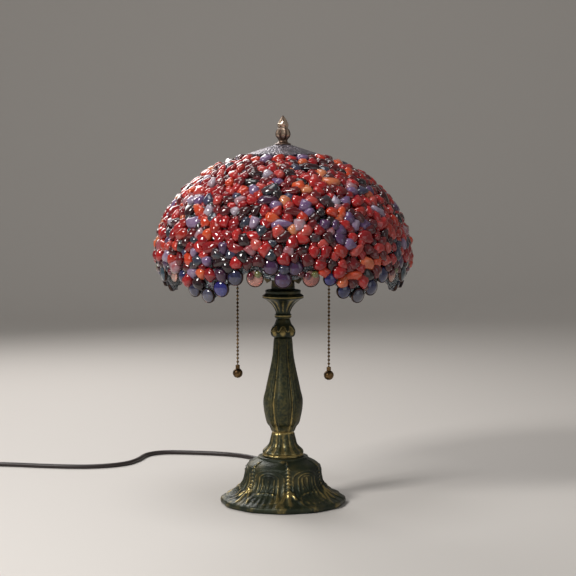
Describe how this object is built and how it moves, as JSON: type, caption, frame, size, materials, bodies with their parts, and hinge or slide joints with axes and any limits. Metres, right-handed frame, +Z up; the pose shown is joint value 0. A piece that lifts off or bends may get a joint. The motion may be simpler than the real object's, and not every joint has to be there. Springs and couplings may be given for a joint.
{
  "type": "table lamp",
  "caption": "Table lamp with a domed shade of tumbled stones and glass on a patinated cast baluster stem and relief foot, with two pull-chain lampholders.",
  "frame": {"origin": "centre of the felt underside of the foot, on the table", "axes": "+Z up the stem; X along the two lampholders and their pull chains; the ornament's front faces 10 degrees east of -Y; the cord leaves at the back"},
  "size_m": [0.6773, 0.4535, 0.469],
  "materials": {
    "felt": "felt",
    "patina_casting": "dark green bronze patina rubbed to gold on the high spots",
    "iron": "rough cast",
    "plated_steel": "zinc plated",
    "bushing": "moulded",
    "cord_jacket": "smooth jacket",
    "plug_plastic": "moulded",
    "blade_brass": "bright",
    "cluster_bronze": "antique bronze",
    "socket_brass": "antique brass",
    "contact_brass": "bright",
    "liner_card": "fibre card",
    "core_phenolic": "moulded phenolic",
    "chain_bronze": "antique bronze",
    "bulb_glass": "frosted",
    "solder_web": "silvery solder with small glass chips",
    "pewter_brass": "antique pewter",
    "finial_brass": "antique pinkish brass",
    "stone_crimson": "polished carnelian",
    "stone_orange": "polished red and orange agate",
    "stone_violet": "polished amethyst and clear quartz",
    "stone_dark": "polished dark agate and onyx",
    "gem_glass": "polished coloured glass in dark foil",
    "disc_glass": "translucent pink glass"
  },
  "bodies": {
    "lamp": {"arm_nipple_left": "plated_steel", "arm_nipple_right": "plated_steel", "base_casting": "patina_casting", "base_felt": "felt", "base_lock_washer": "plated_steel", "base_nut": "plated_steel", "base_washer": "plated_steel", "base_weight": "iron", "center_pipe": "plated_steel", "chain_guide_left": "socket_brass", "chain_guide_right": "socket_brass", "cluster_body": "cluster_bronze", "cluster_cover": "cluster_bronze", "cluster_nut": "plated_steel", "column_casting": "patina_casting", "column_cup": "patina_casting", "column_knop": "patina_casting", "cord_bushing": "bushing", "cord_coil": "cord_jacket", "cord_tail": "cord_jacket", "lead_wire": "cord_jacket", "plug_blades": "blade_brass", "plug_body": "plug_plastic", "power_cord": "cord_jacket", "rod_nuts": "plated_steel", "screw_shell_left": "contact_brass", "screw_shell_right": "contact_brass", "seat_nut": "plated_steel", "seat_washer": "plated_steel", "socket_cap_left": "socket_brass", "socket_cap_right": "socket_brass", "socket_core_left": "core_phenolic", "socket_core_right": "core_phenolic", "socket_liner_left": "liner_card", "socket_liner_right": "liner_card", "socket_shell_left": "socket_brass", "socket_shell_right": "socket_brass", "upper_rod": "plated_steel"},
    "lead_right": {"pull_lead_right": "chain_bronze"},
    "chain_right": {"pull_chain_right": "chain_bronze", "chain_knob_right": "chain_bronze"},
    "lever_right": {"switch_lever_right": "socket_brass"},
    "bulb_right": {"bulb_base_right": "contact_brass", "bulb_glass_right": "bulb_glass"},
    "lead_left": {"pull_lead_left": "chain_bronze"},
    "chain_left": {"pull_chain_left": "chain_bronze", "chain_knob_left": "chain_bronze"},
    "lever_left": {"switch_lever_left": "socket_brass"},
    "bulb_left": {"bulb_base_left": "contact_brass", "bulb_glass_left": "bulb_glass"},
    "shade": {"solder_web": "solder_web", "top_ring": "pewter_brass", "vent_cap": "pewter_brass", "stones_crimson": "stone_crimson", "stones_orange": "stone_orange", "stones_violet": "stone_violet", "stones_dark": "stone_dark", "border_gems": "gem_glass", "border_discs": "disc_glass"},
    "finial": {"finial": "finial_brass"}
  },
  "joints": [
    {"name": "chain_pull_right", "type": "slide", "parent": "lamp", "child": "lead_right", "axis": [0, 0, -1], "range_m": [0, 0.01], "stiffness_N_per_m": 200, "springref_m": -0.002},
    {"name": "chain_swing_right", "type": "hinge", "parent": "lead_right", "child": "chain_right", "pos_m": [0.056, 0, 0.2806], "axis": [1, 0, 0], "range_deg": [-20, 20]},
    {"name": "switch_turn_right", "type": "hinge", "parent": "lamp", "child": "lever_right", "pos_m": [0.03957, 0, 0.29951], "axis": [0, 1, 0], "range_deg": [0, 25]},
    {"name": "bulb_turn_right", "type": "hinge", "parent": "lamp", "child": "bulb_right", "pos_m": [0.024, 0, 0.286], "axis": [0.5736, 0, 0.8192], "continuous": true},
    {"name": "chain_pull_left", "type": "slide", "parent": "lamp", "child": "lead_left", "axis": [0, 0, -1], "range_m": [0, 0.01], "stiffness_N_per_m": 200, "springref_m": -0.002},
    {"name": "chain_swing_left", "type": "hinge", "parent": "lead_left", "child": "chain_left", "pos_m": [-0.056, 0, 0.2806], "axis": [1, 0, 0], "range_deg": [-20, 20]},
    {"name": "switch_turn_left", "type": "hinge", "parent": "lamp", "child": "lever_left", "pos_m": [-0.03957, 0, 0.29951], "axis": [0, -1, 0], "range_deg": [0, 25]},
    {"name": "bulb_turn_left", "type": "hinge", "parent": "lamp", "child": "bulb_left", "pos_m": [-0.024, 0, 0.286], "axis": [-0.5736, 0, 0.8192], "continuous": true},
    {"name": "shade_lift", "type": "slide", "parent": "lamp", "child": "shade", "axis": [0, 0, 1], "range_m": [0, 0.2]},
    {"name": "finial_turn", "type": "hinge", "parent": "shade", "child": "finial", "pos_m": [0, 0, 0.434], "axis": [0, 0, 1], "continuous": true}
  ],
  "couplings": [
    {"joint": "switch_turn_right", "follows": "chain_pull_right", "rad_per_m": 43.6},
    {"joint": "switch_turn_left", "follows": "chain_pull_left", "rad_per_m": 43.6}
  ]
}
